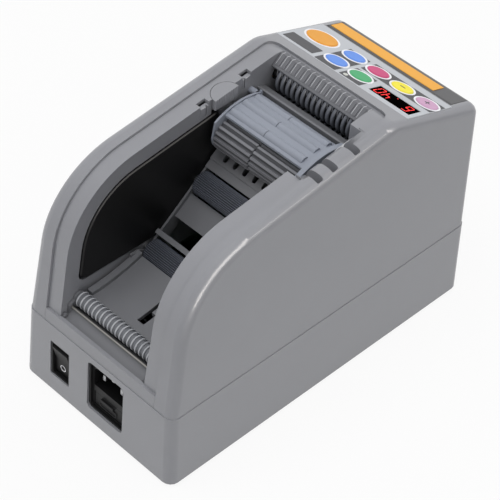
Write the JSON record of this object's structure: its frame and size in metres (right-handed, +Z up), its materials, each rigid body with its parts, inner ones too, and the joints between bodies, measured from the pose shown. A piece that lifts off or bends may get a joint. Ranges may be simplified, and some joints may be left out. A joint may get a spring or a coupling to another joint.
{
  "type": "electric tape dispenser",
  "caption": "Desk machine that feeds tape from an open bay over rollers, cuts it with a sliding blade under a keyed control panel and hands it out of a guarded slot at the rear.",
  "frame": {"origin": "on the table under the middle of the machine, between the feet", "axes": "+Z up, +Y towards the tape outlet, -Y towards the mains inlet and tape bay"},
  "size_m": [0.12, 0.238, 0.1612],
  "materials": {
    "body_plastic": "fine satin moulded grey",
    "floor_plastic": "darker grey moulded plastic",
    "black_plastic": "black moulded plastic",
    "roller_rubber": "dark grey moulded rubber",
    "holder_plastic": "light blue-grey plastic",
    "silver_plastic": "silver grey plastic",
    "steel": "bright steel",
    "gear_plastic": "natural white plastic",
    "bush_brass": "plain bearing metal",
    "sheet_film": "satin silver film",
    "guard_plastic": "dark grey plastic",
    "strip_film": "plain orange film",
    "key_orange": "orange key",
    "key_blue": "blue key",
    "key_green": "green key",
    "key_pink": "pink key",
    "key_yellow": "yellow key",
    "key_mauve": "mauve key",
    "lamp_lens": "clear lens",
    "display_glass": "dark red window",
    "circuit_board": "green circuit board",
    "foot_rubber": "black rubber"
  },
  "bodies": {
    "housing": {"base_tub": "body_plastic", "upper_cover": "body_plastic", "bay_liner": "body_plastic", "left_side_panel": "black_plastic", "right_side_panel": "black_plastic", "bay_floor": "floor_plastic", "lip_tray": "floor_plastic", "lip_rod": "steel", "guide_axle": "steel", "idler_axles": "steel", "left_frame": "steel", "right_frame": "steel", "tie_rods": "steel", "latch_posts": "body_plastic", "stripper_bar": "floor_plastic", "comb_guide": "body_plastic", "feed_bushes": "bush_brass", "transfer_stud": "steel", "feed_motor": "steel", "tape_chute": "floor_plastic", "cutter_bracket": "steel", "cutter_motor": "steel", "fixed_blade": "steel", "blade_guides": "guard_plastic", "panel_sheet": "sheet_film", "status_lamp": "lamp_lens", "panel_board": "circuit_board", "display": "display_glass", "inlet_body": "black_plastic", "inlet_pins": "steel", "switch_frame": "black_plastic", "power_board": "circuit_board", "rubber_feet": "foot_rubber", "housing_screws": "steel"},
    "guide_roller": {"guide_roller": "silver_plastic"},
    "front_idler": {"front_idler": "roller_rubber"},
    "rear_idler": {"rear_idler": "roller_rubber"},
    "holder": {"roller_holder": "holder_plastic", "press_axle": "steel"},
    "press_roller": {"press_roller": "roller_rubber"},
    "release_button": {"release_button": "body_plastic"},
    "feed": {"feed_roller": "roller_rubber", "feed_gear": "gear_plastic"},
    "lower_feed": {"lower_feed_roller": "roller_rubber", "lower_gear": "gear_plastic"},
    "transfer_gear": {"transfer_gear": "gear_plastic"},
    "motor_pinion": {"motor_pinion": "gear_plastic"},
    "moving_blade": {"moving_blade": "steel"},
    "cutter_pinion": {"cutter_pinion": "gear_plastic"},
    "guard": {"blade_guard": "guard_plastic", "guard_strip": "strip_film"},
    "rocker": {"rocker": "black_plastic"},
    "fuse_drawer": {"fuse_drawer": "black_plastic"},
    "start_key": {"start_key": "key_orange"},
    "near_blue_key": {"near_blue_key": "key_blue"},
    "far_blue_key": {"far_blue_key": "key_blue"},
    "green_key": {"green_key": "key_green"},
    "pink_key": {"pink_key": "key_pink"},
    "yellow_key": {"yellow_key": "key_yellow"},
    "mauve_key": {"mauve_key": "key_mauve"}
  },
  "joints": [
    {"name": "guide_roller_spin", "type": "hinge", "parent": "housing", "child": "guide_roller", "pos_m": [0, -0.103, 0.067], "axis": [1, 0, 0], "continuous": true},
    {"name": "front_idler_spin", "type": "hinge", "parent": "housing", "child": "front_idler", "pos_m": [0, -0.0525, 0.0725], "axis": [1, 0, 0], "continuous": true},
    {"name": "rear_idler_spin", "type": "hinge", "parent": "housing", "child": "rear_idler", "pos_m": [0, -0.01649, 0.10152], "axis": [1, 0, 0], "continuous": true},
    {"name": "holder_lift", "type": "hinge", "parent": "housing", "child": "holder", "pos_m": [0, 0.022, 0.1445], "axis": [-1, 0, 0], "range_deg": [0, 50]},
    {"name": "press_roller_spin", "type": "hinge", "parent": "holder", "child": "press_roller", "pos_m": [0, -0.003, 0.131], "axis": [1, 0, 0], "continuous": true},
    {"name": "release_press", "type": "slide", "parent": "housing", "child": "release_button", "axis": [0, 0, -1], "range_m": [0, 0.003], "stiffness_N_per_m": 400, "springref_m": -0.002},
    {"name": "feed_spin", "type": "hinge", "parent": "housing", "child": "feed", "pos_m": [0, 0.0432, 0.1458], "axis": [1, 0, 0], "continuous": true},
    {"name": "lower_feed_spin", "type": "hinge", "parent": "housing", "child": "lower_feed", "pos_m": [0, 0.04051, 0.12901], "axis": [1, 0, 0], "continuous": true},
    {"name": "transfer_spin", "type": "hinge", "parent": "housing", "child": "transfer_gear", "pos_m": [0, 0.05465, 0.11025], "axis": [1, 0, 0], "continuous": true},
    {"name": "motor_spin", "type": "hinge", "parent": "housing", "child": "motor_pinion", "pos_m": [0, 0.06729, 0.09347], "axis": [1, 0, 0], "continuous": true},
    {"name": "blade_stroke", "type": "slide", "parent": "housing", "child": "moving_blade", "axis": [0, 0, -1], "range_m": [0, 0.009]},
    {"name": "cutter_turn", "type": "hinge", "parent": "housing", "child": "cutter_pinion", "pos_m": [-0.014, 0.1069, 0.08], "axis": [0, 1, 0], "range_deg": [0, 86.5]},
    {"name": "guard_lift", "type": "hinge", "parent": "housing", "child": "guard", "pos_m": [0, 0.09876, 0.14099], "axis": [1, 0, 0], "range_deg": [0, 60]},
    {"name": "rocker_tilt", "type": "hinge", "parent": "housing", "child": "rocker", "pos_m": [-0.0304, -0.1118, 0.0263], "axis": [-1, 0, 0], "range_deg": [0, 16]},
    {"name": "drawer_pull", "type": "slide", "parent": "housing", "child": "fuse_drawer", "axis": [0, -1, 0], "range_m": [0, 0.014]},
    {"name": "start_key_press", "type": "slide", "parent": "housing", "child": "start_key", "axis": [0, -0.309, -0.9511], "range_m": [0, 0.0005], "stiffness_N_per_m": 300, "springref_m": -0.0008},
    {"name": "near_blue_key_press", "type": "slide", "parent": "housing", "child": "near_blue_key", "axis": [0, -0.309, -0.9511], "range_m": [0, 0.0005], "stiffness_N_per_m": 300, "springref_m": -0.0008},
    {"name": "far_blue_key_press", "type": "slide", "parent": "housing", "child": "far_blue_key", "axis": [0, -0.309, -0.9511], "range_m": [0, 0.0005], "stiffness_N_per_m": 300, "springref_m": -0.0008},
    {"name": "green_key_press", "type": "slide", "parent": "housing", "child": "green_key", "axis": [0, -0.309, -0.9511], "range_m": [0, 0.0005], "stiffness_N_per_m": 300, "springref_m": -0.0008},
    {"name": "pink_key_press", "type": "slide", "parent": "housing", "child": "pink_key", "axis": [0, -0.309, -0.9511], "range_m": [0, 0.0005], "stiffness_N_per_m": 300, "springref_m": -0.0008},
    {"name": "yellow_key_press", "type": "slide", "parent": "housing", "child": "yellow_key", "axis": [0, -0.309, -0.9511], "range_m": [0, 0.0005], "stiffness_N_per_m": 300, "springref_m": -0.0008},
    {"name": "mauve_key_press", "type": "slide", "parent": "housing", "child": "mauve_key", "axis": [0, -0.309, -0.9511], "range_m": [0, 0.0005], "stiffness_N_per_m": 300, "springref_m": -0.0008}
  ],
  "couplings": [
    {"joint": "lower_feed_spin", "follows": "feed_spin", "ratio": -1},
    {"joint": "transfer_spin", "follows": "feed_spin", "ratio": 0.56667},
    {"joint": "motor_spin", "follows": "feed_spin", "ratio": -1.4167},
    {"joint": "cutter_turn", "follows": "blade_stroke", "rad_per_m": 166.67}
  ]
}
